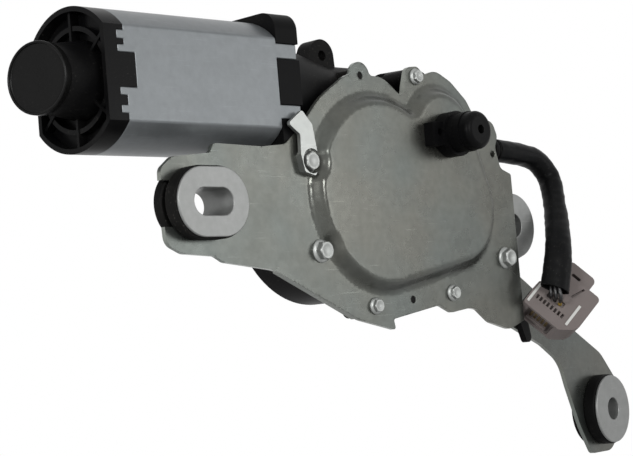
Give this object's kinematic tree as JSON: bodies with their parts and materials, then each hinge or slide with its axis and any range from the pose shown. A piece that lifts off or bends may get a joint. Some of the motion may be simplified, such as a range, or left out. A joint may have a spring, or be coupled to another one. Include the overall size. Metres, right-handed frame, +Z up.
{
  "type": "rear wiper motor",
  "caption": "Rear wiper motor with a double-D can, worm gear case, swing output shaft, pressed mounting plate on rubber mounts, water joint and short lead.",
  "frame": {"origin": "on the output-shaft axis, in the middle of the spindle tube's outer sealing land", "axes": "+Y out along the output shaft, +Z up, +X from the motor can towards the gear case"},
  "size_m": [0.2827, 0.103, 0.1582],
  "materials": {
    "zinc_plated_steel": "bright zinc plate, satin",
    "zinc_screw": "zinc plate",
    "can_steel": "galvanised, satin",
    "black_case": "fine grained",
    "black_rubber": "matt",
    "sleeve_steel": "zinc plate, turned",
    "hard_steel": "ground",
    "wheel_plastic": "natural",
    "copper": "bare copper",
    "brass": "tinned edges",
    "magnet": "sintered ferrite",
    "bronze": "sintered, oiled",
    "card": "laminate",
    "carbon": "carbon",
    "gasket": "flat sheet",
    "sleeving": "soft vinyl",
    "wire": "insulation",
    "connector": "mauve grey",
    "clip": "moulded",
    "lock": "white"
  },
  "bodies": {
    "frame": {"mounting_plate": "zinc_plated_steel", "plate_gasket": "gasket", "plate_screws_large": "zinc_screw", "plate_screws_small": "zinc_screw", "clamp_clip": "zinc_screw", "left_mount_rubber": "black_rubber", "left_mount_sleeve": "sleeve_steel", "upper_mount_rubber": "black_rubber", "upper_mount_sleeve": "sleeve_steel", "arm_mount_rubber": "black_rubber", "arm_mount_sleeve": "sleeve_steel", "gear_housing": "black_case", "guide_tube": "hard_steel", "spindle_bushes": "bronze", "spindle_seal": "black_rubber", "wheel_axle": "hard_steel", "axle_clip": "hard_steel", "contact_carrier": "card", "contact_fingers": "copper", "motor_yoke": "can_steel", "end_cap": "black_case", "end_bumper": "black_rubber", "permanent_magnets": "magnet", "brush_card": "card", "carbon_brushes": "carbon", "brush_springs": "hard_steel", "rear_bush": "bronze", "front_bush": "bronze", "worm_end_bush": "bronze", "water_nozzle": "black_case", "cable_grommet": "black_rubber", "harness_sleeve": "sleeving", "lead_wires": "wire", "connector_housing": "connector", "connector_terminals": "brass", "connector_clip": "clip", "connector_lock": "lock"},
    "armature": {"armature_shaft": "hard_steel", "armature_core": "hard_steel", "armature_windings": "copper", "commutator": "copper"},
    "wheel": {"worm_wheel": "wheel_plastic", "contact_disc": "copper", "crank_pin": "hard_steel"},
    "link": {"connecting_link": "sleeve_steel"},
    "output": {"output_shaft": "hard_steel", "swing_lever": "sleeve_steel", "lever_pin": "hard_steel", "shaft_washer": "hard_steel"}
  },
  "joints": [
    {"name": "armature_spin", "type": "hinge", "parent": "frame", "child": "armature", "pos_m": [-0.08, -0.027, 0.0155], "axis": [1, 0, 0], "continuous": true},
    {"name": "wheel_spin", "type": "hinge", "parent": "frame", "child": "wheel", "pos_m": [-0.0335, -0.027, -0.0199], "axis": [0, 1, 0], "continuous": true},
    {"name": "link_turn", "type": "hinge", "parent": "wheel", "child": "link", "pos_m": [-0.02942, -0.037, -0.02678], "axis": [0, 1, 0], "continuous": true},
    {"name": "output_swing", "type": "hinge", "parent": "frame", "child": "output", "pos_m": [0, 0, 0], "axis": [0, 1, 0], "range_deg": [-47, 47]}
  ],
  "couplings": [
    {"joint": "wheel_spin", "follows": "armature_spin", "ratio": -0.016667},
    {"joint": "link_turn", "follows": "armature_spin", "ratio": 0.016667}
  ]
}
